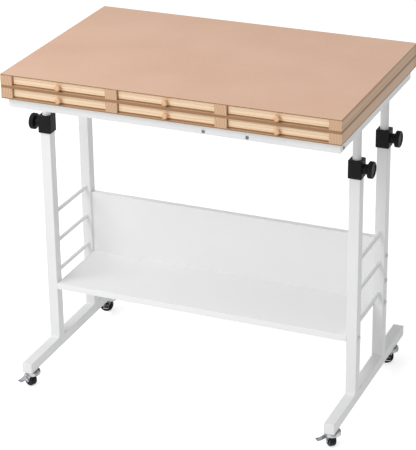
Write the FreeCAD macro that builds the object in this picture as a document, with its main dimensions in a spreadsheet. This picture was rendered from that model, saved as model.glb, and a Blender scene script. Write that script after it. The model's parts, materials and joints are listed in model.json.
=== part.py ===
import FreeCAD, Part
import os
import re

import Sketcher

# A rolling jigsaw puzzle table: a flat board with two storeys of drawers, held by a steel frame on
# four posts that telescope in the legs of a stand, with a shelf, a back panel and four casters.
# +X is to the right of a person at the drawers, +Y away from them, +Z up, and the origin lies on the
# floor under the middle of the board. Lengths are millimetres and angles degrees.

SIZES = {
    # board: three thin panels with two storeys of rails between them
    "board_width": 770,
    "board_depth": 510,
    "top_panel_thickness": 2.5,
    "middle_panel_thickness": 6.5,
    "bottom_panel_thickness": 2.5,
    "panel_edge_round": 0.8,
    "storey_height": 22,
    "rail_width": 27,
    "back_rail_depth": 18,
    # drawers
    "drawer_recess": 6,
    "drawer_side_gap": 1,
    "drawer_top_gap": 1.2,
    "drawer_float": 0.3,
    "drawer_back_gap": 16,
    "drawer_front_thickness": 10,
    "drawer_side_thickness": 8,
    "drawer_side_height": 13,
    "drawer_bottom_thickness": 2.5,
    "drawer_edge_round": 0.8,
    "pull_head_radius": 6.5,
    "pull_head_length": 8.5,
    "pull_head_round": 3,
    "pull_neck_radius": 4.2,
    "pull_neck_length": 3.5,
    "pull_tenon_radius": 3,
    "pull_tenon_length": 7,
    "pull_below_middle": 2,
    # square steel tube of the stand and of the frame under the board
    "tube_size": 25,
    "tube_wall": 1.5,
    "tube_corner_round": 2,
    # frame under the board
    "frame_inset_side": 7.5,
    "frame_inset_front": 17,
    "height_setting": 67,
    "post_radius": 9.5,
    "post_wall": 1.5,
    "height_drop": 60,
    "guide_bolt_gap": 4,
    "guide_length": 12,
    "guide_spigot_length": 16,
    "guide_clearance": 0.3,
    "board_screw_pitch": 300,
    "board_screw_radius": 2.2,
    "board_screw_head_radius": 4.2,
    "board_screw_head_height": 2.6,
    "board_screw_bite": 14,
    "frame_screw_radius": 2.5,
    "frame_screw_head_radius": 3.8,
    "frame_screw_head_height": 2,
    "frame_screw_length": 12,
    "frame_screw_height": 7,
    "frame_screw_near_offset": 78,
    "frame_screw_far_offset": 175.5,
    "frame_screw_side_inset": 19,
    "screw_clearance": 0.1,
    # stand
    "caster_height": 45,
    "leg_length": 549,
    "leg_pitch": 187,
    "foot_length": 496,
    "end_cap_thickness": 3,
    "end_cap_round": 2,
    "end_cap_plug_length": 12,
    "end_cap_plug_clearance": 0.1,
    "rung_radius": 4.5,
    "rung_first_height": 230,
    "rung_pitch": 74,
    # clamp collars on the legs and their knobs
    "collar_size": 31,
    "collar_height": 41,
    "collar_roof": 6,
    "collar_corner_round": 3,
    "collar_edge_round": 1.5,
    "collar_leg_clearance": 0.15,
    "collar_post_clearance": 0.3,
    "collar_boss_radius": 11,
    "collar_boss_length": 9,
    "clamp_knob_radius": 18.5,
    "clamp_knob_thickness": 13,
    "clamp_knob_hub_radius": 10,
    "clamp_knob_back_height": 2.5,
    "clamp_knob_round": 2.5,
    "clamp_knob_dish_radius": 12.5,
    "clamp_knob_dish_depth": 1.5,
    "clamp_knob_gap": 0.6,
    "clamp_flute_radius": 2,
    "clamp_flute_depth": 0.9,
    "clamp_stud_radius": 4,
    "clamp_stud_fit": 0.08,
    "clamp_stud_leg_clearance": 0.4,
    "clamp_stud_tip_gap": 0.3,
    "clamp_stud_in_knob": 8,
    # shelf, back panel and their bolts
    "shelf_height": 212,
    "shelf_thickness": 15,
    "back_panel_height": 153,
    "back_panel_thickness": 15,
    "shelf_edge_round": 1,
    "bolt_radius": 3,
    "bolt_head_radius": 5.5,
    "bolt_head_height": 3,
    "bolt_head_round": 2.2,
    "bolt_bite": 30,
    "bolt_clearance": 0.1,
    "bolt_low_above_shelf": 47,
    "bolt_high_above_shelf": 109,
    # casters
    "front_left_turn": 155,
    "front_right_turn": 132,
    "rear_left_turn": 195,
    "rear_right_turn": 195,
    "caster_front_inset": 25,
    "caster_rear_inset": 60,
    "stem_radius": 5,
    "stem_length": 18,
    "stem_clearance": 0.1,
    "stem_flange_radius": 13,
    "stem_flange_thickness": 2,
    "swivel_pin_radius": 4,
    "swivel_fit": 0.08,
    "swivel_gap": 0.3,
    "swivel_head_radius": 6.5,
    "swivel_head_thickness": 1.5,
    "dish_radius": 19,
    "dish_height": 9,
    "dish_wall": 1.6,
    "dish_round": 3.2,
    "fork_plate_thickness": 1.8,
    "fork_plate_front": 11,
    "fork_plate_back": 14,
    "fork_eye_radius": 7,
    "wheel_radius": 17,
    "wheel_width": 15,
    "wheel_round": 3.5,
    "wheel_trail": 9,
    "wheel_side_gap": 0.6,
    "wheel_hub_radius": 6,
    "wheel_rim_radius": 11,
    "wheel_recess": 1.6,
    "axle_radius": 3,
    "axle_fit": 0.08,
    "axle_head_radius": 4.6,
    "axle_head_thickness": 1.6,
    "brake_offset": 5,
    "brake_height": 29,
    "brake_width": 13,
    "brake_side_gap": 0.3,
    "brake_barrel_radius": 2.4,
    "brake_barrel_gap": 0.4,
    "brake_pin_radius": 1.2,
    "brake_pin_fit": 0.06,
    "brake_lug_thickness": 1.6,
    "brake_pedal_thickness": 1.6,
    "brake_pedal_reach": 14,
    "brake_pedal_drop": 6,
    "brake_pedal_tip": 9,
    # how far a cutting shape runs past what it cuts
    "cut_overrun": 5,
}

CLAMP_FLUTES = 24
RAIL_PITCH_SHARES = (-1.5, -0.5, 0.5, 1.5)
DRAWER_COLUMNS = (-1, 0, 1)
FRONT_AND_REAR = (-1, 1)
LEFT_AND_RIGHT = (-1, 1)
# two edges this near each other are taken to stand at one place
SAME_PLACE = 1e-4
PARALLEL_SHARE = 0.999

# Places worked out from the sizes, as expressions: heights above the floor, then plan positions
FOOT_TOP = "(caster_height + tube_size)"
LEG_TOP = f"({FOOT_TOP} + leg_length)"
COLLAR_TOP = f"({LEG_TOP} + collar_roof)"
CLAMP_HEIGHT = f"({COLLAR_TOP} - collar_height / 2)"
FRAME_BOTTOM = f"({COLLAR_TOP} + height_setting)"
FRAME_TOP = f"({FRAME_BOTTOM} + tube_size)"
LOWER_STOREY = f"({FRAME_TOP} + bottom_panel_thickness)"
UPPER_STOREY = f"({LOWER_STOREY} + storey_height + middle_panel_thickness)"
LEG_X = "(board_width / 2 - frame_inset_side - tube_size / 2)"
LEG_Y = "(leg_pitch / 2)"
FRAME_HALF_WIDTH = "(board_width / 2 - frame_inset_side)"
FRAME_HALF_DEPTH = "(board_depth / 2 - frame_inset_front)"
BAY_WIDTH = "((board_width - 4 * rail_width) / 3)"
BAY_PITCH = f"({BAY_WIDTH} + rail_width)"
DRAWER_WIDTH = f"({BAY_WIDTH} - 2 * drawer_side_gap)"
DRAWER_FACE_Y = "(drawer_recess - board_depth / 2)"
DRAWER_DEPTH = "(board_depth - drawer_recess - back_rail_depth - drawer_back_gap)"
DRAWER_FRONT_HEIGHT = "(storey_height - drawer_float - drawer_bottom_thickness - drawer_top_gap)"
SHELF_WIDTH = f"(2 * {LEG_X} - tube_size)"
# at the lowest setting the guides under the posts stop just above the highest bolts
HIGHEST_BOLT_TOP = "(shelf_height + bolt_high_above_shelf + bolt_radius)"
POST_BOTTOM = f"({HIGHEST_BOLT_TOP} + guide_bolt_gap + height_drop + guide_length)"
FORK_PLATE_TOP = "(caster_height - stem_flange_thickness - swivel_gap)"
FORK_PLATE_UNDERSIDE = f"({FORK_PLATE_TOP} - dish_wall)"
FORK_INSIDE = "(wheel_width / 2 + wheel_side_gap)"
FORK_OUTSIDE = f"({FORK_INSIDE} + fork_plate_thickness)"
BRAKE_PIN_Y = f"({FORK_OUTSIDE} + brake_barrel_gap + brake_barrel_radius)"
BRAKE_LUG_X = "(brake_width / 2 + brake_side_gap + brake_lug_thickness / 2)"

doc = FreeCAD.newDocument("puzzle_table")
nodes = {}


def fill_sheet():
    """Writes every driving dimension into the spreadsheet, one named cell each."""
    sheet = doc.addObject("Spreadsheet::Sheet", "Sizes")
    for row, (name, number) in enumerate(SIZES.items(), start=1):
        sheet.set(f"A{row}", name)
        sheet.set(f"B{row}", str(number))
        sheet.setAlias(f"B{row}", name)
    doc.recompute()
    return sheet


SHEET = fill_sheet()


def bound(text):
    """Turns the size names in an expression into references to the sheet's cells."""
    return re.sub(r"[a-z_]+", lambda word: f"Sizes.{word[0]}" if word[0] in SIZES else word[0], str(text))


def value(text):
    return float(SHEET.evalExpression(bound(text)))


def bind(thing, name, text):
    thing.setExpression(name, bound(text))


def side(sign, text):
    """The expression on the left or front for -1, and on the right or rear for +1."""
    return f"{sign} * {text}"


# Bodies, sketches and features

def new_body(label):
    body = doc.addObject("PartDesign::Body", label)
    body.Label = label
    return body


def sketch_on(body, role, offset="0"):
    plane = next(item for item in body.Origin.OriginFeatures if item.Role == role)
    sketch = body.newObject("Sketcher::SketchObject", f"{body.Name}_sketch")
    sketch.AttachmentSupport = [(plane, "")]
    sketch.MapMode = "FlatFace"
    bind(sketch, "AttachmentOffset.Base.z", offset)
    return sketch


def hold(sketch, constraint, text):
    index = sketch.addConstraint(constraint)
    bind(sketch, f"Constraints[{index}]", text)


def hold_point(sketch, line, end, x, y):
    hold(sketch, Sketcher.Constraint("DistanceX", -1, 1, line, end, value(x)), x)
    hold(sketch, Sketcher.Constraint("DistanceY", -1, 1, line, end, value(y)), y)


def polygon(sketch, points):
    """A closed outline whose corners are held by signed distances from the sketch's origin."""
    places = [FreeCAD.Vector(value(x), value(y), 0) for x, y in points]
    lines = []
    for start, end in zip(places, places[1:] + places[:1]):
        lines.append(sketch.addGeometry(Part.LineSegment(start, end), False))
    for line, following in zip(lines, lines[1:] + lines[:1]):
        sketch.addConstraint(Sketcher.Constraint("Coincident", line, 2, following, 1))
    for line, (x, y) in zip(lines, points):
        hold_point(sketch, line, 1, x, y)


def rectangle(sketch, width, height, x="0", y="0"):
    left, right = f"{x} - ({width}) / 2", f"{x} + ({width}) / 2"
    low, high = f"{y} - ({height}) / 2", f"{y} + ({height}) / 2"
    polygon(sketch, [(left, low), (right, low), (right, high), (left, high)])


def circle(sketch, radius, x="0", y="0"):
    centre = FreeCAD.Vector(value(x), value(y), 0)
    ring = sketch.addGeometry(Part.Circle(centre, FreeCAD.Vector(0, 0, 1), value(radius)), False)
    hold_point(sketch, ring, 3, x, y)
    hold(sketch, Sketcher.Constraint("Radius", ring, value(radius)), radius)


def pad(body, sketch, length, midplane=False):
    feature = body.newObject("PartDesign::Pad", f"{body.Name}_pad")
    feature.Profile = sketch
    feature.Midplane = midplane
    bind(feature, "Length", length)
    return feature


def pocket(body, sketch, length=None, midplane=False, reverse=False):
    """Cuts against the sketch's normal, along it when reversed, or both ways.

    Without a length it cuts through all."""
    before = volume_of(body)
    feature = body.newObject("PartDesign::Pocket", f"{body.Name}_pocket")
    feature.Profile = sketch
    feature.Midplane = midplane
    feature.Reversed = reverse
    if length is None:
        feature.Type = "ThroughAll"
    else:
        bind(feature, "Length", length)
    if not volume_of(body) < before:
        raise RuntimeError(f"a pocket of {body.Label} cuts nothing")
    return feature


def volume_of(body):
    doc.recompute()
    return body.Shape.Volume


def revolution(body, sketch):
    feature = body.newObject("PartDesign::Revolution", f"{body.Name}_turned")
    feature.Profile = sketch
    feature.ReferenceAxis = (sketch, ["V_Axis"])
    return feature


def fillet(body, radius, chosen):
    """Rounds the edges of the body that the test picks out."""
    doc.recompute()
    base = body.Tip
    names = [f"Edge{i}" for i, edge in enumerate(base.Shape.Edges, start=1) if chosen(edge)]
    if not names:
        raise RuntimeError(f"no edges to round on {body.Label}")
    feature = body.newObject("PartDesign::Fillet", f"{body.Name}_round")
    feature.Base = (base, names)
    bind(feature, "Radius", radius)
    return feature


def runs_along(edge, axis):
    return edge.Curve.TypeId == "Part::GeomLine" and abs(edge.Curve.Direction.dot(axis)) > PARALLEL_SHARE


def lies_at(edge, axis, place):
    """True for an edge whose whole length stands at one place along an axis."""
    ends = [vertex.Point.dot(axis) for vertex in edge.Vertexes] + [edge.CenterOfMass.dot(axis)]
    return all(abs(end - place) < SAME_PLACE for end in ends)


def ring_at(edge, axis, place, radius):
    """True for a full circle round an axis through the origin, at one place and of one radius."""
    if edge.Curve.TypeId != "Part::GeomCircle" or abs(edge.Curve.Radius - radius) > SAME_PLACE:
        return False
    return abs(edge.Curve.Center.dot(axis) - place) < SAME_PLACE


X_AXIS = FreeCAD.Vector(1, 0, 0)
Y_AXIS = FreeCAD.Vector(0, 1, 0)
Z_AXIS = FreeCAD.Vector(0, 0, 1)


def place(thing, x="0", y="0", z="0", turn=None, axis=Z_AXIS):
    if turn is not None:
        thing.Placement = FreeCAD.Placement(FreeCAD.Vector(), FreeCAD.Rotation(axis, value(turn)))
        bind(thing, "Placement.Rotation.Angle", turn)
    for letter, text in zip("xyz", (x, y, z)):
        bind(thing, f"Placement.Base.{letter}", text)
    return thing


def keep(label, *bodies):
    """Makes a node of one body, or of several separate solids under one name."""
    if len(bodies) == 1:
        nodes[label] = bodies[0]
        return
    group = doc.addObject("Part::Compound", label)
    group.Label = label
    group.Links = list(bodies)
    nodes[label] = group


# Forms that several pieces share

def slab(label, width, depth, height):
    """A block whose foot is centred on the body's origin."""
    body = new_body(label)
    sketch = sketch_on(body, "XY_Plane")
    rectangle(sketch, width, depth)
    pad(body, sketch, height)
    return body


def square_tube(label, role, axis, length, midplane):
    """A square tube with rounded outer corners along an axis of the body."""
    body = new_body(label)
    sketch = sketch_on(body, role)
    rectangle(sketch, "tube_size", "tube_size")
    rectangle(sketch, "tube_size - 2 * tube_wall", "tube_size - 2 * tube_wall")
    pad(body, sketch, length, midplane)
    middle_of_wall = value("tube_size / 2 - tube_wall / 2")

    def outer_corner(edge):
        across = edge.CenterOfMass - axis * edge.CenterOfMass.dot(axis)
        return runs_along(edge, axis) and max(abs(across.x), abs(across.y), abs(across.z)) > middle_of_wall

    fillet(body, "tube_corner_round", outer_corner)
    return body


def turned(label, outline):
    """A piece of revolution round the body's Z axis; each point is a radius and a height."""
    body = new_body(label)
    sketch = sketch_on(body, "XZ_Plane")
    polygon(sketch, outline)
    revolution(body, sketch)
    return body


def headed_pin(label, head_radius, head_height, head_round, radius, length):
    """A screw or bolt: its head stands on the XY plane and its shank hangs below it."""
    body = turned(label, [("0", head_height), (head_radius, head_height), (head_radius, "0"),
                          (radius, "0"), (radius, f"-({length})"), ("0", f"-({length})")])
    if head_round:
        top, rim = value(head_height), value(head_radius)
        fillet(body, head_round, lambda edge: ring_at(edge, Z_AXIS, top, rim))
    return body


# Board

def make_panel(label, thickness, z):
    body = slab(label, "board_width", "board_depth", thickness)
    fillet(body, "panel_edge_round", lambda edge: runs_along(edge, Z_AXIS))
    keep(label, place(body, z=z))
    return body


def drill_for_board_screws(body, x_places, y_shift="0", depth=None):
    """Holes for the upright screws that hold the board to the side rails of the frame."""
    sketch = sketch_on(body, "XY_Plane")
    for x in x_places:
        for end in FRONT_AND_REAR:
            y = f"{side(end, '(board_screw_pitch / 2)')} - {y_shift}"
            circle(sketch, "board_screw_radius + screw_clearance", x, y)
    pocket(body, sketch, depth, reverse=True)


def make_storey(name, z):
    """Four rails from front to back, whose end grain shows between the drawers, and one across the back."""
    rails = []
    length = "(board_depth - back_rail_depth)"
    middle_y = "(-back_rail_depth / 2)"
    for number, share in enumerate(RAIL_PITCH_SHARES, start=1):
        x = f"({share} * {BAY_PITCH})"
        rail = slab(f"{name}_rail_{number}", "rail_width", length, "storey_height")
        if name == "lower" and number in (1, len(RAIL_PITCH_SHARES)):
            sign = 1 if share > 0 else -1
            hole = f"{side(sign, LEG_X)} - {x}"
            drill_for_board_screws(rail, [hole], middle_y, "board_screw_bite + screw_clearance")
        rails.append(place(rail, x=x, y=middle_y, z=z))
    keep(f"{name}_rails", *rails)
    back = slab(f"{name}_back_rail", "board_width", "back_rail_depth", "storey_height")
    keep(f"{name}_back_rail", place(back, y="board_depth / 2 - back_rail_depth / 2", z=z))


def make_board():
    bottom = make_panel("bottom_panel", "bottom_panel_thickness", FRAME_TOP)
    drill_for_board_screws(bottom, [side(sign, LEG_X) for sign in LEFT_AND_RIGHT])
    make_storey("lower", LOWER_STOREY)
    make_panel("middle_panel", "middle_panel_thickness", f"{LOWER_STOREY} + storey_height")
    make_storey("upper", UPPER_STOREY)
    top = make_panel("top_panel", "top_panel_thickness", f"{UPPER_STOREY} + storey_height")
    surface = value("top_panel_thickness")
    fillet(top, "panel_edge_round", lambda edge: lies_at(edge, Z_AXIS, surface))


# Drawers

def make_pull(label):
    """A turned wooden pull with a tenon; it points along the body's Z axis."""
    length = "(pull_neck_length + pull_head_length)"
    body = turned(label, [("0", "-pull_tenon_length"), ("pull_tenon_radius", "-pull_tenon_length"),
                          ("pull_tenon_radius", "0"), ("pull_neck_radius", "0"),
                          ("pull_neck_radius", "pull_neck_length"),
                          ("pull_head_radius", "pull_neck_length + pull_head_round / 2"),
                          ("pull_head_radius", length), ("0", length)])
    tip, rim = value(length), value("pull_head_radius")
    fillet(body, "pull_head_round", lambda edge: ring_at(edge, Z_AXIS, tip, rim))
    return body


def make_drawer(label, column, storey):
    x = f"({column} * {BAY_PITCH})"
    floor = f"({storey} + drawer_float)"
    sill = f"({floor} + drawer_bottom_thickness)"
    bottom = slab(f"{label}_bottom", DRAWER_WIDTH, DRAWER_DEPTH, "drawer_bottom_thickness")
    keep(f"{label}_bottom", place(bottom, x, f"{DRAWER_FACE_Y} + {DRAWER_DEPTH} / 2", floor))

    front = slab(f"{label}_front", DRAWER_WIDTH, "drawer_front_thickness", DRAWER_FRONT_HEIGHT)
    sketch = sketch_on(front, "XZ_Plane")
    pull_height = f"({DRAWER_FRONT_HEIGHT} / 2 - pull_below_middle)"
    circle(sketch, "pull_tenon_radius", "0", pull_height)
    # the hole starts in the middle of the front's thickness and runs out through its face
    pocket(front, sketch, "drawer_front_thickness / 2", reverse=True)
    sketch = sketch_on(front, "XZ_Plane")
    circle(sketch, "pull_tenon_radius", "0", pull_height)
    pocket(front, sketch, "pull_tenon_length - drawer_front_thickness / 2")
    face = -value("drawer_front_thickness / 2")
    fillet(front, "drawer_edge_round",
           lambda edge: edge.Curve.TypeId == "Part::GeomLine" and lies_at(edge, Y_AXIS, face))
    place(front, x, f"{DRAWER_FACE_Y} + drawer_front_thickness / 2", sill)

    side_length = f"({DRAWER_DEPTH} - drawer_front_thickness)"
    pieces = [front]
    for sign, hand in zip(LEFT_AND_RIGHT, ("left", "right")):
        wall = slab(f"{label}_{hand}_side", "drawer_side_thickness", side_length, "drawer_side_height")
        wall_x = f"{x} + {side(sign, f'({DRAWER_WIDTH} - drawer_side_thickness) / 2')}"
        wall_y = f"{DRAWER_FACE_Y} + drawer_front_thickness + {side_length} / 2"
        pieces.append(place(wall, wall_x, wall_y, sill))
    back_width = f"({DRAWER_WIDTH} - 2 * drawer_side_thickness)"
    back = slab(f"{label}_back", back_width, "drawer_side_thickness", "drawer_side_height")
    pieces.append(place(back, x, f"{DRAWER_FACE_Y} + {DRAWER_DEPTH} - drawer_side_thickness / 2", sill))
    keep(f"{label}_frame", *pieces)

    pull = make_pull(f"{label}_pull")
    keep(f"{label}_pull", place(pull, x, DRAWER_FACE_Y, f"{sill} + {pull_height}", "90", X_AXIS))


def make_drawers():
    for storey, height in (("upper", UPPER_STOREY), ("lower", LOWER_STOREY)):
        for column, hand in zip(DRAWER_COLUMNS, ("left", "middle", "right")):
            make_drawer(f"{storey}_{hand}_drawer", column, height)


# Frame under the board

def mitred_rail(label, half_length):
    """A tube along X, cut at 45 degrees at both ends, whose long side faces -Y."""
    body = square_tube(label, "YZ_Plane", X_AXIS, f"2 * {half_length}", True)
    sketch = sketch_on(body, "XY_Plane")
    for sign in LEFT_AND_RIGHT:
        tip = side(sign, f"({half_length} + cut_overrun)")
        root = side(sign, f"({half_length} - tube_size - cut_overrun)")
        polygon(sketch, [(tip, "-tube_size / 2 - cut_overrun"), (tip, "tube_size / 2 + cut_overrun"),
                         (root, "tube_size / 2 + cut_overrun")])
    pocket(body, sketch, midplane=True)
    return body


def make_frame():
    middle_z = f"({FRAME_BOTTOM} + tube_size / 2)"
    screw_z = "(frame_screw_height - tube_size / 2)"
    apron_y = f"({FRAME_HALF_DEPTH} - tube_size / 2)"
    for end, label in zip(FRONT_AND_REAR, ("front_apron", "rear_apron")):
        apron = mitred_rail(label, FRAME_HALF_WIDTH)
        if label == "front_apron":
            sketch = sketch_on(apron, "XZ_Plane")
            circle(sketch, "frame_screw_radius + screw_clearance", "frame_screw_near_offset", screw_z)
            circle(sketch, "frame_screw_radius + screw_clearance", "frame_screw_far_offset", screw_z)
            pocket(apron, sketch, reverse=True)
        keep(label, place(apron, "0", side(end, apron_y), middle_z, "0" if end < 0 else "180"))
    for sign, label in zip(LEFT_AND_RIGHT, ("left_top_rail", "right_top_rail")):
        rail = mitred_rail(label, FRAME_HALF_DEPTH)
        sketch = sketch_on(rail, "XY_Plane")
        for end in FRONT_AND_REAR:
            circle(sketch, "board_screw_radius + screw_clearance", side(end, "(board_screw_pitch / 2)"))
        pocket(rail, sketch, midplane=True)
        sketch = sketch_on(rail, "XZ_Plane")
        along = side(-sign, f"({FRAME_HALF_DEPTH} - frame_screw_side_inset)")
        circle(sketch, "frame_screw_radius + screw_clearance", along, screw_z)
        pocket(rail, sketch, reverse=True)
        keep(label, place(rail, side(sign, LEG_X), "0", middle_z, side(sign, "90")))
    make_frame_screws()


def make_frame_screws():
    screw_z = f"({FRAME_BOTTOM} + frame_screw_height)"
    screws = []
    for number, x in enumerate(("frame_screw_near_offset", "frame_screw_far_offset"), start=1):
        screw = frame_screw(f"front_screw_{number}")
        screws.append(place(screw, x, f"-{FRAME_HALF_DEPTH}", screw_z, "90", X_AXIS))
    for sign, hand in zip(LEFT_AND_RIGHT, ("left", "right")):
        screw = frame_screw(f"{hand}_rail_screw")
        y = f"(frame_screw_side_inset - {FRAME_HALF_DEPTH})"
        screws.append(place(screw, side(sign, FRAME_HALF_WIDTH), y, screw_z, side(sign, "90"), Y_AXIS))
    keep("frame_screws", *screws)
    screws = []
    length = "(tube_size + bottom_panel_thickness + board_screw_bite)"
    for sign in LEFT_AND_RIGHT:
        for end in FRONT_AND_REAR:
            screw = headed_pin(f"board_screw_{len(screws) + 1}", "board_screw_head_radius",
                               "board_screw_head_height", None, "board_screw_radius", length)
            y = side(end, "(board_screw_pitch / 2)")
            screws.append(place(screw, side(sign, LEG_X), y, FRAME_BOTTOM, "180", X_AXIS))
    keep("board_screws", *screws)


def frame_screw(label):
    return headed_pin(label, "frame_screw_head_radius", "frame_screw_head_height",
                      "frame_screw_head_height / 2", "frame_screw_radius", "frame_screw_length")


def at_each_leg():
    """Yields a name and the plan position of each leg."""
    for sign, hand in zip(LEFT_AND_RIGHT, ("left", "right")):
        for end, row in zip(FRONT_AND_REAR, ("front", "rear")):
            yield f"{row}_{hand}", sign, end, side(sign, LEG_X), side(end, LEG_Y)


def make_posts():
    """Round posts that hang from the side rails into the legs, each with a plastic guide at its foot."""
    posts, guides = [], []
    bore = "(post_radius - post_wall)"
    guide_size = "(tube_size - 2 * tube_wall - 2 * guide_clearance)"
    for name, _, _, x, y in at_each_leg():
        post = new_body(f"{name}_post")
        sketch = sketch_on(post, "XY_Plane")
        circle(sketch, "post_radius")
        circle(sketch, bore)
        pad(post, sketch, f"{FRAME_BOTTOM} - {POST_BOTTOM}")
        posts.append(place(post, x, y, POST_BOTTOM))
        guide = slab(f"{name}_guide", guide_size, guide_size, "guide_length")
        sketch = sketch_on(guide, "XY_Plane", "guide_length")
        circle(sketch, bore)
        pad(guide, sketch, "guide_spigot_length")
        guides.append(place(guide, x, y, f"{POST_BOTTOM} - guide_length"))
    keep("inner_posts", *posts)
    keep("post_guides", *guides)


# Stand

def make_uprights():
    """The four legs, drilled for the clamp studs and for the bolts of the shelf and the back panel."""
    legs = []
    shelf_bolt = f"(shelf_height - shelf_thickness / 2 - {FOOT_TOP})"
    for name, sign, end, x, y in at_each_leg():
        leg = square_tube(f"{name}_leg", "XY_Plane", Z_AXIS, "leg_length", False)
        sketch = sketch_on(leg, "YZ_Plane")
        circle(sketch, "clamp_stud_radius + clamp_stud_leg_clearance", "0", f"{CLAMP_HEIGHT} - {FOOT_TOP}")
        pocket(leg, sketch, reverse=sign > 0)
        sketch = sketch_on(leg, "YZ_Plane")
        circle(sketch, "bolt_radius + bolt_clearance", "0", shelf_bolt)
        if end > 0:
            for above in ("bolt_low_above_shelf", "bolt_high_above_shelf"):
                circle(sketch, "bolt_radius + bolt_clearance", "0", f"shelf_height + {above} - {FOOT_TOP}")
        pocket(leg, sketch, midplane=True)
        legs.append(place(leg, x, y, FOOT_TOP))
    keep("uprights", *legs)


def caster_places():
    """Yields a name and the swivel axis of each caster."""
    for sign, hand in zip(LEFT_AND_RIGHT, ("left", "right")):
        yield f"front_{hand}", side(sign, LEG_X), "(caster_front_inset - foot_length / 2)"
        yield f"rear_{hand}", side(sign, LEG_X), "(foot_length / 2 - caster_rear_inset)"


def make_feet():
    middle_z = "(caster_height + tube_size / 2)"
    caps = []
    plug = "(tube_size - 2 * tube_wall - 2 * end_cap_plug_clearance)"
    for sign, hand in zip(LEFT_AND_RIGHT, ("left", "right")):
        foot = square_tube(f"{hand}_foot", "XZ_Plane", Y_AXIS, "foot_length - 2 * end_cap_thickness", True)
        sketch = sketch_on(foot, "XY_Plane")
        hole = "stem_radius + stem_clearance"
        circle(sketch, hole, "0", "caster_front_inset - foot_length / 2")
        circle(sketch, hole, "0", "foot_length / 2 - caster_rear_inset")
        pocket(foot, sketch)
        keep(f"{hand}_foot", place(foot, side(sign, LEG_X), "0", middle_z))
        for end, row in zip(FRONT_AND_REAR, ("front", "rear")):
            cap = slab(f"{row}_{hand}_cap", "tube_size", "tube_size", "end_cap_thickness")
            face = value("end_cap_thickness")
            fillet(cap, "tube_corner_round", lambda edge: runs_along(edge, Z_AXIS))
            fillet(cap, "end_cap_round", lambda edge: lies_at(edge, Z_AXIS, face))
            sketch = sketch_on(cap, "XY_Plane")
            rectangle(sketch, plug, plug)
            pad(cap, sketch, "end_cap_plug_length").Reversed = True
            y = side(end, "(foot_length / 2 - end_cap_thickness)")
            caps.append(place(cap, side(sign, LEG_X), y, middle_z, side(-end, "90"), X_AXIS))
    keep("foot_end_caps", *caps)


def make_rungs():
    """Three round rods between the front and rear leg of each side."""
    rods = []
    for sign, hand in zip(LEFT_AND_RIGHT, ("left", "right")):
        for step in range(3):
            rod = new_body(f"{hand}_rung_{step + 1}")
            sketch = sketch_on(rod, "XZ_Plane")
            circle(sketch, "rung_radius")
            pad(rod, sketch, "leg_pitch - tube_size", midplane=True)
            rods.append(place(rod, side(sign, LEG_X), "0", f"rung_first_height + {step} * rung_pitch"))
    keep("side_rungs", *rods)


def make_collar(label, sign):
    """A moulded clamp collar: it caps the leg, lets the post through and holds the clamp stud in a boss."""
    body = slab(label, "collar_size", "collar_size", "collar_height")
    fillet(body, "collar_corner_round", lambda edge: runs_along(edge, Z_AXIS))
    ends = (0, value("collar_height"))
    fillet(body, "collar_edge_round", lambda edge: any(lies_at(edge, Z_AXIS, end) for end in ends))
    sketch = sketch_on(body, "YZ_Plane")
    circle(sketch, "collar_boss_radius", "0", "collar_height / 2")
    pad(body, sketch, "collar_size / 2 + collar_boss_length").Reversed = sign < 0
    socket = "(tube_size + 2 * collar_leg_clearance)"
    sketch = sketch_on(body, "XY_Plane")
    rectangle(sketch, socket, socket)
    pocket(body, sketch, "collar_height - collar_roof", reverse=True)
    sketch = sketch_on(body, "XY_Plane")
    circle(sketch, "post_radius + collar_post_clearance")
    pocket(body, sketch, reverse=True)
    sketch = sketch_on(body, "YZ_Plane")
    circle(sketch, "clamp_stud_radius + clamp_stud_fit", "0", "collar_height / 2")
    pocket(body, sketch, reverse=sign > 0)
    return body


def make_collars():
    collars = []
    for name, sign, _, x, y in at_each_leg():
        collar = make_collar(f"{name}_collar", sign)
        collars.append(place(collar, x, y, f"{COLLAR_TOP} - collar_height"))
    keep("leg_collars", *collars)


def make_clamp_knob(label):
    """A fluted hand knob; its axis is the body's Z axis, measured out from the middle of the leg."""
    inner = "(collar_size / 2 + collar_boss_length + clamp_knob_gap)"
    outer = f"({inner} + clamp_knob_thickness)"
    stud_end = f"({inner} + clamp_stud_in_knob)"
    face = f"({outer} - clamp_knob_dish_depth)"
    body = turned(label, [("clamp_stud_radius", inner), ("clamp_knob_hub_radius", inner),
                          ("clamp_knob_radius", f"{inner} + clamp_knob_back_height"),
                          ("clamp_knob_radius", outer), ("clamp_knob_dish_radius", outer),
                          ("clamp_knob_dish_radius", face), ("0", face),
                          ("0", stud_end), ("clamp_stud_radius", stud_end)])
    rim, top = value("clamp_knob_radius"), value(outer)
    fillet(body, "clamp_knob_round", lambda edge: ring_at(edge, Z_AXIS, top, rim))
    sketch = sketch_on(body, "XY_Plane")
    circle(sketch, "clamp_flute_radius", "clamp_knob_radius + clamp_flute_radius - clamp_flute_depth")
    flute = pocket(body, sketch, reverse=True)
    pattern = body.newObject("PartDesign::PolarPattern", f"{label}_flutes")
    pattern.Originals = [flute]
    pattern.Axis = (next(item for item in body.Origin.OriginFeatures if item.Role == "Z_Axis"), [""])
    pattern.Angle = 360
    pattern.Occurrences = CLAMP_FLUTES
    body.Tip = pattern
    tip = "(post_radius + clamp_stud_tip_gap)"
    stud = turned(f"{label}_stud", [("0", tip), ("clamp_stud_radius", tip), ("clamp_stud_radius", stud_end),
                                    ("0", stud_end)])
    return body, stud


def make_clamp_knobs():
    for name, sign, _, x, y in at_each_leg():
        label = f"{name}_clamp_knob"
        pieces = make_clamp_knob(f"{label}_grip")
        keep(label, *[place(piece, x, y, CLAMP_HEIGHT, side(sign, "90"), Y_AXIS) for piece in pieces])


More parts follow.
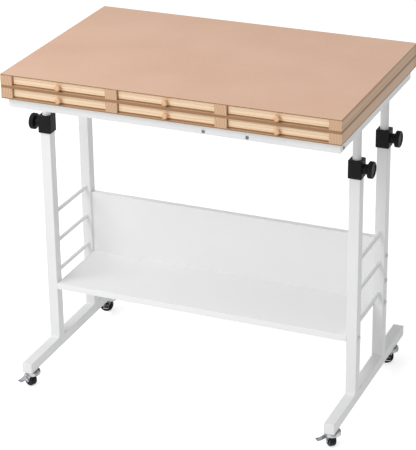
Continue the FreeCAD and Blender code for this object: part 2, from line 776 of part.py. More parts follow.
def make_shelf():
    """The shelf between the legs and the back panel that stands on it, both drilled in their ends."""
    depth = "(leg_pitch + tube_size)"
    shelf = slab("shelf", SHELF_WIDTH, depth, "shelf_thickness")
    front = -value(depth) / 2
    fillet(shelf, "shelf_edge_round",
           lambda edge: runs_along(edge, X_AXIS) and lies_at(edge, Y_AXIS, front))
    drill_ends(shelf, [(side(end, LEG_Y), "shelf_thickness / 2") for end in FRONT_AND_REAR])
    keep("shelf", place(shelf, z="shelf_height - shelf_thickness"))
    panel = slab("back_panel", SHELF_WIDTH, "back_panel_thickness", "back_panel_height")
    top = value("back_panel_height")
    fillet(panel, "shelf_edge_round", lambda edge: runs_along(edge, X_AXIS) and lies_at(edge, Z_AXIS, top))
    drill_ends(panel, [("0", "bolt_low_above_shelf"), ("0", "bolt_high_above_shelf")])
    keep("back_panel", place(panel, "0", LEG_Y, "shelf_height"))


def drill_ends(body, places):
    """Holes for the bolts, run in from both ends of a board along X."""
    for sign in LEFT_AND_RIGHT:
        sketch = sketch_on(body, "YZ_Plane", side(sign, f"{SHELF_WIDTH} / 2"))
        for y, z in places:
            circle(sketch, "bolt_radius + bolt_clearance", y, z)
        pocket(body, sketch, "bolt_bite + bolt_clearance", reverse=sign < 0)


def make_bolts():
    bolts = []
    for name, sign, end, _, y in at_each_leg():
        heights = ["shelf_height - shelf_thickness / 2"]
        if end > 0:
            heights += ["shelf_height + bolt_low_above_shelf", "shelf_height + bolt_high_above_shelf"]
        for number, height in enumerate(heights, start=1):
            bolt = headed_pin(f"{name}_bolt_{number}", "bolt_head_radius", "bolt_head_height",
                              "bolt_head_round", "bolt_radius", "tube_size + bolt_bite")
            bolts.append(place(bolt, side(sign, FRAME_HALF_WIDTH), y, height, side(sign, "90"), Y_AXIS))
    keep("shelf_bolts", *bolts)


# Casters: each body stands on the floor under the swivel axis, with the wheel trailing along its X

def make_stem(label):
    head_top = f"({FORK_PLATE_UNDERSIDE} - swivel_gap)"
    head_bottom = f"({head_top} - swivel_head_thickness)"
    flange_bottom = "(caster_height - stem_flange_thickness)"
    stem_top = "(caster_height + stem_length)"
    return turned(label, [("0", head_bottom), ("swivel_head_radius", head_bottom),
                          ("swivel_head_radius", head_top), ("swivel_pin_radius", head_top),
                          ("swivel_pin_radius", flange_bottom), ("stem_flange_radius", flange_bottom),
                          ("stem_flange_radius", "caster_height"), ("stem_radius", "caster_height"),
                          ("stem_radius", stem_top), ("0", stem_top)])


def make_fork(label):
    """A pressed dish on the swivel pin, two side plates down to the axle, and lugs for the brake's pin."""
    bore = "(swivel_pin_radius + swivel_fit)"
    rim_bottom = f"({FORK_PLATE_TOP} - dish_height)"
    body = turned(label, [(bore, FORK_PLATE_UNDERSIDE), ("dish_radius - dish_wall", FORK_PLATE_UNDERSIDE),
                          ("dish_radius - dish_wall", rim_bottom), ("dish_radius", rim_bottom),
                          ("dish_radius", FORK_PLATE_TOP), (bore, FORK_PLATE_TOP)])
    top, rim = value(FORK_PLATE_TOP), value("dish_radius")
    fillet(body, "dish_round", lambda edge: ring_at(edge, Z_AXIS, top, rim))
    plate_top = f"({FORK_PLATE_UNDERSIDE} + dish_wall / 2)"
    for y in (FORK_OUTSIDE, f"-{FORK_INSIDE}"):
        sketch = sketch_on(body, "XZ_Plane", f"-{y}")
        polygon(sketch, [("-fork_plate_front", plate_top), ("wheel_trail - fork_eye_radius", "wheel_radius"),
                         ("wheel_trail + fork_eye_radius", "wheel_radius"), ("fork_plate_back", plate_top)])
        pad(body, sketch, "fork_plate_thickness")
        sketch = sketch_on(body, "XZ_Plane", f"-{y}")
        circle(sketch, "fork_eye_radius", "wheel_trail", "wheel_radius")
        pad(body, sketch, "fork_plate_thickness")
    lug_reach = "(brake_barrel_gap + 2 * brake_barrel_radius)"
    for sign in LEFT_AND_RIGHT:
        sketch = sketch_on(body, "XZ_Plane", f"-({FORK_OUTSIDE} + {lug_reach})")
        rectangle(sketch, "brake_lug_thickness", "2 * brake_barrel_radius",
                  f"brake_offset + {side(sign, BRAKE_LUG_X)}", "brake_height")
        pad(body, sketch, f"{lug_reach} + fork_plate_thickness / 2")
    sketch = sketch_on(body, "XZ_Plane")
    circle(sketch, "axle_radius + axle_fit", "wheel_trail", "wheel_radius")
    pocket(body, sketch, midplane=True)
    sketch = sketch_on(body, "YZ_Plane")
    circle(sketch, "brake_pin_radius + brake_pin_fit", BRAKE_PIN_Y, "brake_height")
    pocket(body, sketch, midplane=True)
    return body


def make_axle(label):
    """The wheel's axle along the body's Y, riveted over on both plates of the fork."""
    outer = f"({FORK_OUTSIDE} + axle_head_thickness)"
    body = new_body(label)
    sketch = sketch_on(body, "XY_Plane")
    polygon(sketch, [("0", f"-{outer}"), ("axle_head_radius", f"-{outer}"),
                     ("axle_head_radius", f"-{FORK_OUTSIDE}"), ("axle_radius", f"-{FORK_OUTSIDE}"),
                     ("axle_radius", FORK_OUTSIDE), ("axle_head_radius", FORK_OUTSIDE),
                     ("axle_head_radius", outer), ("0", outer)])
    revolution(body, sketch)
    return body


def make_brake_pin(label):
    body = new_body(label)
    sketch = sketch_on(body, "YZ_Plane", "brake_offset")
    circle(sketch, "brake_pin_radius", BRAKE_PIN_Y, "brake_height")
    pad(body, sketch, f"2 * {BRAKE_LUG_X} + brake_lug_thickness", midplane=True)
    return body


def make_brake_lever(label):
    """A bent pedal on a rolled barrel, hinged beside the fork's outer plate."""
    body = new_body(label)
    sketch = sketch_on(body, "YZ_Plane", "brake_offset")
    circle(sketch, "brake_barrel_radius", BRAKE_PIN_Y, "brake_height")
    pad(body, sketch, "brake_width", midplane=True)
    bend_y = f"({BRAKE_PIN_Y} + brake_pedal_reach)"
    tip_y = f"({bend_y} + brake_pedal_tip)"
    half = "brake_pedal_thickness / 2"
    low = "(brake_height - brake_pedal_drop)"
    sketch = sketch_on(body, "YZ_Plane", "brake_offset")
    polygon(sketch, [(BRAKE_PIN_Y, f"brake_height - {half}"), (bend_y, f"{low} - {half}"),
                     (tip_y, f"{low} - {half}"), (tip_y, f"{low} + {half}"),
                     (bend_y, f"{low} + {half}"), (BRAKE_PIN_Y, f"brake_height + {half}")])
    pad(body, sketch, "brake_width", midplane=True)
    sketch = sketch_on(body, "YZ_Plane", "brake_offset")
    circle(sketch, "brake_pin_radius + brake_pin_fit", BRAKE_PIN_Y, "brake_height")
    pocket(body, sketch, midplane=True)
    return body


def make_wheel(label):
    """A solid wheel with rounded shoulders and a recessed web, turned round the body's Y."""
    body = new_body(label)
    sketch = sketch_on(body, "XY_Plane")
    half = "(wheel_width / 2)"
    web = f"({half} - wheel_recess)"
    bore = "(axle_radius + axle_fit)"
    upper = [(bore, half), ("wheel_hub_radius", half), ("wheel_hub_radius", web), ("wheel_rim_radius", web),
             ("wheel_rim_radius", half), ("wheel_radius", half)]
    polygon(sketch, upper + [(radius, f"-{height}") for radius, height in reversed(upper)])
    revolution(body, sketch)
    rim, edges = value("wheel_radius"), (value(half), -value(half))
    fillet(body, "wheel_round", lambda edge: any(ring_at(edge, Y_AXIS, end, rim) for end in edges))
    return body


def make_casters():
    stems = []
    for name, x, y in caster_places():
        stems.append(place(make_stem(f"{name}_stem"), x, y))
        turn = f"{name}_turn"
        hub_x = f"{x} + wheel_trail * cos({turn})"
        hub_y = f"{y} + wheel_trail * sin({turn})"
        fork = place(make_fork(f"{name}_fork_plate"), x, y, "0", turn)
        axle = place(make_axle(f"{name}_axle"), hub_x, hub_y, "wheel_radius", turn)
        pin = place(make_brake_pin(f"{name}_brake_pin"), x, y, "0", turn)
        keep(f"{name}_fork", fork, axle, pin)
        keep(f"{name}_brake", place(make_brake_lever(f"{name}_brake"), x, y, "0", turn))
        wheel = make_wheel(f"{name}_wheel")
        keep(f"{name}_wheel", place(wheel, hub_x, hub_y, "wheel_radius", turn))
    keep("caster_stems", *stems)


def check_document():
    """Stops before anything is written if an object failed or a node's shape isn't sound."""
    doc.recompute()
    for thing in doc.Objects:
        if "Invalid" in thing.State or "Error" in thing.State:
            raise RuntimeError(f"{thing.Label} failed: {thing.State}")
    for label, thing in nodes.items():
        if thing.Shape.isNull() or not thing.Shape.isValid() or not thing.Shape.Solids:
            raise RuntimeError(f"{label} has no sound shape")


def export_nodes():
    os.makedirs("parts", exist_ok=True)
    for label, thing in nodes.items():
        thing.Shape.exportStep(f"parts/{label}.step")
        print(label, len(thing.Shape.Solids), "solid(s)", round(thing.Shape.Volume), "mm3")


make_board()
make_drawers()
make_frame()
make_posts()
make_uprights()
make_feet()
make_rungs()
make_collars()
make_clamp_knobs()
make_shelf()
make_bolts()
make_casters()
check_document()
export_nodes()
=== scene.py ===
import json
import math

import bmesh
import bpy
from mathutils import Matrix, Vector


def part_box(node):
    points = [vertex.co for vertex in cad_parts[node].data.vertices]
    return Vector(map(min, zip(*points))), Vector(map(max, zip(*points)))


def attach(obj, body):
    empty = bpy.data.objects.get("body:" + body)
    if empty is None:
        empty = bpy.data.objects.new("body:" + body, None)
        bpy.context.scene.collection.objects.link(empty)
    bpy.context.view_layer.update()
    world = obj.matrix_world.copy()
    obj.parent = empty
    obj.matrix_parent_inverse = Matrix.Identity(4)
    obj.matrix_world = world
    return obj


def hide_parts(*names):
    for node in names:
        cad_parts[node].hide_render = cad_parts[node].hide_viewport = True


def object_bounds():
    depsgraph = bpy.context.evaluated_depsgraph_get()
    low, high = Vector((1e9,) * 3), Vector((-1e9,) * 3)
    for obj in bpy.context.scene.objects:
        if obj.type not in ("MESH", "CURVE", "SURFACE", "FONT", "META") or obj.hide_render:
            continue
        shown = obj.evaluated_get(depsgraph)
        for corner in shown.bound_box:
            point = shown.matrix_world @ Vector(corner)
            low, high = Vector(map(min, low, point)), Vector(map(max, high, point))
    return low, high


bl_info = {
    "name": "Rolling puzzle table",
    "version": (1, 0, 0),
    "blender": (4, 5, 0),
    "location": "3D View > Sidebar > Puzzle Table",
    "description": "Dresses the packed puzzle table with its finishes, fasteners, welds and wheels",
    "category": "Object",
}

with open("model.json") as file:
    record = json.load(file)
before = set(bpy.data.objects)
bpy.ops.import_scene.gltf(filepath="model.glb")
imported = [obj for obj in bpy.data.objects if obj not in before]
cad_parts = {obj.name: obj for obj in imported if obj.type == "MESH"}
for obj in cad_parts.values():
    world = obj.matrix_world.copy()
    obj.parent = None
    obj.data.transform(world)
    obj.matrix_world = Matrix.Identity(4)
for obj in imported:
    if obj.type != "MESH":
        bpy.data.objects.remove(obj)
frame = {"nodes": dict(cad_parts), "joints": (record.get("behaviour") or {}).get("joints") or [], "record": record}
CAD_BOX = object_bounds()
JOINTS = {joint["name"]: joint for joint in frame["joints"]}
SLOT_OF = {part["node"]: part["material_slot"] for part in frame["record"]["subparts"]}
STOREY_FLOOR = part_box("lower_rails")[0].z
CORNERS = ("front_left", "rear_left", "front_right", "rear_right")


def linear(code):
    """An sRGB hex colour as a linear colour with alpha."""
    parts = [int(code[i:i + 2], 16) / 255 for i in (1, 3, 5)]
    return tuple(c / 12.92 if c <= 0.04045 else ((c + 0.055) / 1.055) ** 2.4 for c in parts) + (1.0,)


def colour(name, code, description):
    return bpy.props.FloatVectorProperty(name=name, description=description, default=linear(code), size=4,
                                         min=0, max=1, subtype="COLOR")


def length(name, metres, description):
    return bpy.props.FloatProperty(name=name, description=description, default=metres, min=0, precision=4,
                                   subtype="DISTANCE", unit="LENGTH")


def rotation(name, radians, description):
    return bpy.props.FloatProperty(name=name, description=description, default=radians, subtype="ANGLE",
                                   unit="ROTATION")


def position(name, metres, description):
    return bpy.props.FloatVectorProperty(name=name, description=description, default=metres, size=3,
                                         subtype="TRANSLATION", unit="LENGTH")


def wattage(name, watts, description):
    return bpy.props.FloatProperty(name=name, description=description, default=watts, min=0, unit="POWER")


def ratio(name, number, description):
    return bpy.props.FloatProperty(name=name, description=description, default=number, min=0)


class PuzzleTableFinishes(bpy.types.PropertyGroup):
    """Colours and pattern sizes of the finishes"""
    hardboard_face: colour("Hardboard face", "#E5BDA3", "Pressed face of the top panel")
    hardboard_fleck: colour("Hardboard fleck", "#D9AE92", "Fibre bundles in the pressed face")
    # painted shade: the panels under the drawers get a darker tan, so that the ledges in front of the drawers look
    # shaded
    ledge_shade_face: colour("Inner face", "#C9A684", "Duller face of the panels under the drawers")
    ledge_shade_fleck: colour("Inner fleck", "#B99470", "Fibre bundles in the duller face")
    backing: colour("White backing", "#F1F1F0", "Lacquered underside of the lowest panel")
    hardboard_edge: colour("Hardboard edge", "#98724F", "Sawn edges of the thin panels")
    pine_early: colour("Pine earlywood", "#F5DDBE", "Pale wood between the growth rings of the drawers")
    pine_late: colour("Pine latewood", "#D9B187", "Darker line at the end of each growth ring of the drawers")
    rail_early: colour("Rail earlywood", "#D2AE8D", "Duller wood of the rails between the growth rings")
    rail_late: colour("Rail latewood", "#B08660", "Darker line at the end of each growth ring of the rails")
    pull_early: colour("Pull earlywood", "#E9C097", "Warmer wood of the turned pulls")
    pull_late: colour("Pull latewood", "#CF9E6E", "Darker line at the end of each growth ring of the pulls")
    pine_end: colour("Pine end grain", "#F0E9E9", "Tint of the cut ends, which soak up light")
    coat: colour("Powder coat", "#F0F0F0", "Baked white coat on the steel")
    coat_shade: colour("Powder coat shade", "#E8E9E9", "Slight unevenness of the coat")
    melamine: colour("Melamine", "#F4F4F4", "White paper film on the shelf and the back panel")
    melamine_shade: colour("Melamine shade", "#EFEFEF", "Faint print of the press plate in the film")
    cap_plastic: colour("Cap plastic", "#EDEDEC", "White moulded caps of the feet")
    black_plastic: colour("Black plastic", "#111112", "Moulded collars and knobs")
    black_plastic_bloom: colour("Black plastic bloom", "#1A1A1B", "Paler flow marks in the moulded black")
    tread: colour("Wheel plastic", "#0C0C0D", "Moulded black of the wheels")
    chrome: colour("Bright plating", "#A4A5A8", "Plated pressings of the casters")
    zinc: colour("Zinc plating", "#808286", "Plated screws of the frame")
    nickel: colour("Nickel plating", "#B2B4B8", "Brighter bolts in the legs")
    cloud_size: length("Hardboard cloud", 0.16, "Size of the slow clouds in the hardboard")
    ring_width: length("Growth ring", 0.006, "Spacing of the growth rings in the pine")
    ring_wave: length("Ring wave", 0.03, "Size of the waves that bend the growth rings")
    ring_bend: length("Ring bend", 0.012, "How far the waves bend the growth rings")
    fibre_width: length("Wood fibre", 0.0009, "Width of the streaks along the grain of the pine")
    fleck_size: length("Fibre fleck", 0.003, "Size of the flecks in the hardboard")
    peel_size: length("Orange peel", 0.0022, "Spacing of the waves in the baked coat")
    coat_cloud: length("Coat cloud", 0.09, "Size of the slow unevenness of the baked coat")
    pearl_size: length("Press pearl", 0.0018, "Spacing of the pearls pressed into the white film")
    film_cloud: length("Film cloud", 0.2, "Size of the slow unevenness of the white film")
    mould_grain: length("Mould grain", 0.0008, "Grain that the mould leaves on the plastic")
    tread_grain: length("Tread grain", 0.0012, "Grain that the mould leaves on the wheels")
    flow_size: length("Flow mark", 0.02, "Size of the flow marks in the plastic")
    press_mark: length("Press mark", 0.0006, "Width of the drawing marks on the casters' pressings")
    thread_mark: length("Turning mark", 0.0005, "Width of the drawing marks on screws and bolts")
    smear_size: length("Smear", 0.008, "Size of the smears that roughen the plating")
    # painted reflections: size of the light and dark patches painted into the plating's colour
    painted_reflection_size: length("Sheen", 0.012, "Size of the soft light and dark sheens of the plating")


class PuzzleTableSizes(bpy.types.PropertyGroup):
    """Sizes of the pieces that are modelled here"""
    drawer_front: length("Drawer front", 0.010, "Thickness of a drawer's front, which turns the grain")
    drawer_back: length("Drawer back", 0.008, "Thickness of a drawer's back, which turns the grain")
    screw_head_height: length("Screw head", 0.002, "Height of the frame screws' pan heads")
    screw_crown: ratio("Screw crown", 0.75, "Share of a screw head's height that is rounded")
    screw_slot_reach: ratio("Cross recess reach", 1.15, "Length across the head, against its radius")
    screw_slot_width: length("Cross recess width", 0.0011, "Width of each arm of the cross recess")
    screw_slot_depth: length("Cross recess depth", 0.0013, "Depth of the cross recess")
    screw_shank_radius: length("Screw shank", 0.0024, "Radius of a frame screw's shank")
    screw_turn: rotation("Screw turn", 0.7, "How far each screw is turned on from the one before")
    bolt_head_height: length("Bolt head", 0.003, "Height of the bolts' button heads")
    bolt_crown: ratio("Bolt crown", 0.8, "Share of a bolt head's height that is rounded")
    bolt_socket: length("Bolt socket", 0.002, "Radius of the hexagon socket in a bolt's head")
    bolt_socket_depth: length("Bolt socket depth", 0.0016, "Depth of the hexagon socket in a bolt's head")
    bolt_shank_radius: length("Bolt shank", 0.0029, "Radius of a bolt's shank")
    bolt_turn: rotation("Bolt turn", 0.4, "How far each bolt is turned on from the one before")
    shank_chamfer: length("Shank chamfer", 0.0006, "Chamfer at the end of a shank")
    weld_radius: length("Weld bead", 0.0019, "Radius of the beads between the legs and the feet")
    weld_swell: ratio("Weld swell", 0.14, "How far a bead's ripples stand out, against its radius")
    weld_end: ratio("Weld end", 0.6, "Rounding of a bead's ends, against its radius")
    weld_inset: length("Weld inset", 0.002, "How far a bead keeps from the corners of a leg")
    rung_weld_radius: length("Rung weld", 0.0012, "Radius of the beads round the ends of the rungs")
    rung_weld_swell: ratio("Rung weld swell", 0.12, "How far its ripples stand out, against its radius")
    wheel_width: length("Wheel width", 0.015, "Width of a wheel across its tread")
    wheel_recess_radius: length("Wheel recess", 0.011, "Radius of the recess in a wheel's sides")
    wheel_hub_radius: length("Wheel hub", 0.006, "Radius of a wheel's hub")
    wheel_bore_radius: length("Wheel bore", 0.00308, "Radius of the hole for the axle")
    wheel_recess_depth: length("Wheel recess depth", 0.0016, "Depth of the recess in a wheel's sides")
    wheel_draft: length("Wheel draft", 0.0006, "Slope of the recess's walls, as a mould needs")
    wheel_shoulder: length("Wheel shoulder", 0.0035, "Rounding of a wheel's tread at the sides")


class PuzzleTableStage(bpy.types.PropertyGroup):
    """Camera and light"""
    camera_place: position("Camera place", (1.47606, -3.48234, 1.31469),
                           "The camera from the middle of the board's top")
    azimuth: rotation("Azimuth", math.radians(23.1745),
                      "How far the camera stands round to the right of the front")
    elevation: rotation("Elevation", math.radians(22.9689), "How far the camera looks down")
    roll: rotation("Roll", math.radians(-0.7744), "Tilt of the camera about its view")
    lens: bpy.props.FloatProperty(
        name="Lens", description="Focal length on a 36 mm sensor", default=146.9, min=1,
        subtype="DISTANCE_CAMERA")
    shift: bpy.props.FloatProperty(
        name="Rise", description="Vertical shift that keeps the legs nearly upright, as in the picture",
        default=-0.1)
    ambient: ratio("Ambient", 0.48, "Strength of the even light from all round")
    key_place: position("Key place", (-1.8, -1.8, 3.2), "Where the lamp at the front left hangs")
    key: wattage("Key light", 42, "Power of the lamp at the front left")
    fill_place: position("Fill place", (-0.8, -3.6, 2.9), "Where the lamp at the front hangs")
    fill: wattage("Fill light", 55, "Power of the lamp at the front, which reaches under the board")
    lamp_size: length("Lamp size", 2.0, "Width of both lamps")
    lamp_aim: length("Lamp aim", 0.45, "Height that both lamps face")
    floor: colour("Floor", "#F4F4F4", "Pale floor")
    floor_lift: ratio("Floor lift", 0.58, "What makes the floor white for the camera and in mirrors")


# Selection and modelling

def clear_selection():
    """Leaves edit mode and deselects everything."""
    if bpy.context.mode != "OBJECT":
        bpy.ops.object.mode_set(mode="OBJECT")
    bpy.ops.object.select_all(action="DESELECT")


def select_only(piece):
    """Selects one piece and makes it the active one."""
    clear_selection()
    piece.select_set(True)
    bpy.context.view_layer.objects.active = piece


def edit(piece):
    """Opens a piece in edit mode with nothing selected."""
    select_only(piece)
    bpy.ops.object.mode_set(mode="EDIT")
    bpy.ops.mesh.select_all(action="DESELECT")


def pick(kind, test):
    """Selects only the edges or faces of the edited mesh that pass a test."""
    bpy.ops.mesh.select_mode(type="EDGE" if kind == "edges" else "FACE")
    bpy.ops.mesh.select_all(action="DESELECT")
    mesh = bmesh.from_edit_mesh(bpy.context.object.data)
    chosen = [item for item in getattr(mesh, kind) if test(item)]
    if not chosen:
        raise RuntimeError(f"no {kind} picked on {bpy.context.object.name}")
    for item in chosen:
        item.select_set(True)
    mesh.select_flush_mode()
    bmesh.update_edit_mesh(bpy.context.object.data)


def faces_at(height):
    """A test for the level faces at a height."""
    return lambda face: abs(face.normal.z) > 0.9 and abs(face.calc_center_median().z - height) < 1e-6


def rim_at(height, radius):
    """A test for the edges of the ring of a given radius at a height."""
    return lambda edge: all(abs(v.co.z - height) < 1e-6 and abs(v.co.xy.length - radius) < 1e-5
                            for v in edge.verts)


def tidy_mesh(angle=35):
    """Merges the edited piece's doubles, turns its faces outwards and smooths its shallow edges."""
    bpy.ops.mesh.select_all(action="SELECT")
    bpy.ops.mesh.remove_doubles(threshold=1e-6)
    bpy.ops.mesh.normals_make_consistent(inside=False)
    bpy.ops.object.mode_set(mode="OBJECT")
    bpy.ops.object.shade_smooth_by_angle(angle=math.radians(angle))


def cut_away(piece, cutter):
    """Cuts one shape out of another and deletes the cutter."""
    select_only(piece)
    cut = piece.modifiers.new("cut", "BOOLEAN")
    cut.operation = "DIFFERENCE"
    cut.object = cutter
    bpy.ops.object.modifier_apply(modifier=cut.name)
    delete(cutter)


def delete(*pieces):
    """Deletes the pieces given."""
    clear_selection()
    for piece in pieces:
        piece.select_set(True)
    bpy.ops.object.delete()


def solid_boxes(node):
    """The lowest and highest corner of each separate solid in a CAD node, from a merged copy of it."""
    copy = frame["nodes"][node].copy()
    copy.data = copy.data.copy()
    copy.parent = None
    bpy.context.collection.objects.link(copy)
    edit(copy)
    bpy.ops.mesh.select_all(action="SELECT")
    bpy.ops.mesh.remove_doubles(threshold=1e-6)
    bpy.ops.mesh.separate(type="LOOSE")
    bpy.ops.object.mode_set(mode="OBJECT")
    solids = list(bpy.context.selected_objects)
    boxes = []
    for solid in solids:
        corners = [Vector(corner) for corner in solid.bound_box]
        boxes.append((Vector(map(min, *corners)), Vector(map(max, *corners))))
    delete(*solids)
    return boxes


def headed_pin(head_radius, height, crown, shank_radius, shank_length, chamfer, sides, steps):
    """A pin along Z: a rounded head that stands on the XY plane, and a plain shank below it."""
    clear_selection()
    bpy.ops.mesh.primitive_cylinder_add(vertices=sides, radius=head_radius, depth=height,
                                        location=(0, 0, height / 2))
    pin = bpy.context.object
    bpy.ops.object.transform_apply(location=True)
    edit(pin)
    pick("edges", rim_at(height, head_radius))
    bpy.ops.mesh.bevel(offset=height * crown, segments=steps)
    pick("faces", faces_at(0.0))
    bpy.ops.mesh.inset(thickness=head_radius - shank_radius, depth=0)
    bpy.ops.mesh.extrude_region_move(TRANSFORM_OT_translate={"value": (0, 0, -shank_length)})
    bpy.ops.mesh.bevel(offset=chamfer, segments=2)
    tidy_mesh()
    return pin


def copy_to(pattern, name, place, axis, body, material, turn=0.0):
    """Puts a copy of a pattern, which stands along Z at the origin, at a place along an axis."""
    select_only(pattern)
    bpy.ops.object.duplicate(linked=False)
    piece = bpy.context.object
    piece.name = name
    piece.data.name = name
    spin = Matrix.Rotation(turn, 4, "Z")
    piece.matrix_world = Matrix.Translation(place) @ axis.to_track_quat("Z", "Y").to_matrix().to_4x4() @ spin
    bpy.ops.object.transform_apply(location=True, rotation=True, scale=True)
    piece.data.materials.clear()
    piece.data.materials.append(material)
    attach(piece, body)
    return piece


# Finishes

def add(tree, kind, sockets=None, **settings):
    """Adds a node with its settings, and gives each named socket a value or a link."""
    node = tree.nodes.new("ShaderNode" + kind)
    for name, setting in settings.items():
        setattr(node, name, setting)
    for socket, given in (sockets or {}).items():
        if isinstance(given, bpy.types.NodeSocket):
            tree.links.new(given, node.inputs[socket])
        else:
            node.inputs[socket].default_value = given
    return node


def new_material(name):
    """A material with its node tree, its shader and the places that its patterns read."""
    material = bpy.data.materials.new(name)
    material.use_nodes = True
    tree = material.node_tree
    return material, tree, tree.nodes["Principled BSDF"], add(tree, "TexCoord").outputs


def smooth_hardboard(name, look, pressed, fleck, under):
    # Hardboard, wet-pressed wood fibre against a polished plate: an even, nearly matt tan face with fine
    # fibre flecks and slow clouds, and sawn edges that are browner; the underside may be lacquered
    material, tree, shader, where = new_material(name)
    flecks = add(tree, "TexNoise", {"Vector": where["Object"], "Scale": 1 / look.fleck_size,
                                    "Detail": 4.0, "Roughness": 0.65})
    clouds = add(tree, "TexNoise", {"Vector": where["Object"], "Scale": 1 / look.cloud_size,
                                    "Detail": 2.0})
    mixed = add(tree, "Math", {0: flecks.outputs[0], 1: clouds.outputs[0]}, operation="MULTIPLY")
    tone = add(tree, "MapRange", {"Value": mixed.outputs[0], "From Min": 0.12, "From Max": 0.42,
                                  "To Min": 0.0, "To Max": 0.75})
    face = add(tree, "Mix", {0: tone.outputs[0], 6: pressed, 7: fleck}, data_type="RGBA")
    rise = add(tree, "SeparateXYZ", {0: where["Normal"]}).outputs["Z"]
    sawn = add(tree, "MapRange", {"Value": rise, "From Min": 0.4, "From Max": 0.7,
                                  "To Min": 1.0, "To Max": 0.0})
    below = add(tree, "MapRange", {"Value": rise, "From Min": -0.4, "From Max": -0.7})
    sides = add(tree, "Mix", {0: sawn.outputs[0], 6: face.outputs[2], 7: look.hardboard_edge},
                data_type="RGBA")
    whole = add(tree, "Mix", {0: below.outputs[0], 6: sides.outputs[2], 7: under}, data_type="RGBA")
    tree.links.new(whole.outputs[2], shader.inputs["Base Color"])
    rough = add(tree, "MapRange", {"Value": flecks.outputs[0], "To Min": 0.48, "To Max": 0.64})
    tree.links.new(rough.outputs[0], shader.inputs["Roughness"])
    bump = add(tree, "Bump", {"Height": flecks.outputs[0], "Strength": 0.12, "Distance": 0.0003})
    tree.links.new(bump.outputs[0], shader.inputs["Normal"])
    shader.inputs["IOR"].default_value = 1.5
    return material


def planed_pine(name, look, early, late, grain, pith, sides=None, tint=1.0):
    # Pine, sawn and planed: pale earlywood with thin darker latewood lines, long fibre streaks and a soft
    # satin face; cut ends soak up light and look browner. The rings are drawn a little wide so that they show
    material, tree, shader, where = new_material(name)
    place = where["Object"]
    along_x, along_y = (1.0, 0.0, 0.0), (0.0, 1.0, 0.0)
    if sides is None:
        run = add(tree, "CombineXYZ", dict(enumerate(along_x if grain == "X" else along_y)))
        run = run.outputs[0]
    else:
        # the front and the back run across, and the two sides between these depths run from front to back
        y = add(tree, "SeparateXYZ", {0: place}).outputs["Y"]
        behind = add(tree, "Math", {0: y, 1: sides[0]}, operation="GREATER_THAN")
        before = add(tree, "Math", {0: y, 1: sides[1]}, operation="LESS_THAN")
        between = add(tree, "Math", {0: behind.outputs[0], 1: before.outputs[0]}, operation="MULTIPLY")
        run = add(tree, "Mix", {0: between.outputs[0], 4: along_x, 5: along_y}, data_type="VECTOR").outputs[1]
    across = add(tree, "VectorMath", {0: (1.0, 1.0, 1.0), 1: run}, operation="SUBTRACT").outputs[0]

    # long slow waves bend the rings, and fine streaks follow the fibres
    slow = add(tree, "VectorMath", {0: run, 1: (0.06, 0.06, 0.06), 2: across}, operation="MULTIPLY_ADD")
    stretched = add(tree, "VectorMath", {0: place, 1: slow.outputs[0]}, operation="MULTIPLY")
    waves = add(tree, "TexNoise", {"Vector": stretched.outputs[0], "Scale": 1 / look.ring_wave,
                                   "Detail": 2.0})
    thin = add(tree, "VectorMath", {0: run, 1: (0.02, 0.02, 0.02), 2: across}, operation="MULTIPLY_ADD")
    drawn = add(tree, "VectorMath", {0: place, 1: thin.outputs[0]}, operation="MULTIPLY")
    streaks = add(tree, "TexNoise", {"Vector": drawn.outputs[0], "Scale": 1 / look.fibre_width,
                                     "Detail": 3.0})

    centred = add(tree, "VectorMath", {0: place, 1: pith}, operation="SUBTRACT")
    outward = add(tree, "VectorMath", {0: centred.outputs[0], 1: across}, operation="MULTIPLY")
    radius = add(tree, "VectorMath", {0: outward.outputs[0]}, operation="LENGTH")
    bent = add(tree, "Math", {0: waves.outputs[0], 1: look.ring_bend, 2: radius.outputs["Value"]},
               operation="MULTIPLY_ADD")
    counted = add(tree, "Math", {0: bent.outputs[0], 1: look.ring_width}, operation="DIVIDE")
    ring = add(tree, "Math", {0: counted.outputs[0]}, operation="FRACT")
    dense = add(tree, "Math", {0: ring.outputs[0], 1: 3.0}, operation="POWER")
    tone = add(tree, "Math", {0: streaks.outputs[0], 1: 0.45, 2: -0.22}, operation="MULTIPLY_ADD")
    grained = add(tree, "Math", {0: dense.outputs[0], 1: 0.75, 2: tone.outputs[0]}, operation="MULTIPLY_ADD",
                  use_clamp=True)
    face = add(tree, "Mix", {0: grained.outputs[0], 6: early, 7: late}, data_type="RGBA")

    facing = add(tree, "VectorMath", {0: where["Normal"], 1: run}, operation="DOT_PRODUCT")
    ends = add(tree, "Math", {0: facing.outputs["Value"]}, operation="ABSOLUTE")
    cut = add(tree, "MapRange", {"Value": ends.outputs[0], "From Min": 0.6, "From Max": 0.8,
                                 "To Min": 0.0, "To Max": tint})
    dark = add(tree, "Mix", {0: cut.outputs[0], 6: face.outputs[2], 7: look.pine_end}, data_type="RGBA",
               blend_type="MULTIPLY")
    tree.links.new(dark.outputs[2], shader.inputs["Base Color"])
    rough = add(tree, "MapRange", {"Value": grained.outputs[0], "To Min": 0.46, "To Max": 0.62})
    tree.links.new(rough.outputs[0], shader.inputs["Roughness"])
    bump = add(tree, "Bump", {"Height": grained.outputs[0], "Strength": 0.15, "Distance": 0.0003})
    tree.links.new(bump.outputs[0], shader.inputs["Normal"])
    shader.inputs["IOR"].default_value = 1.5
    return material


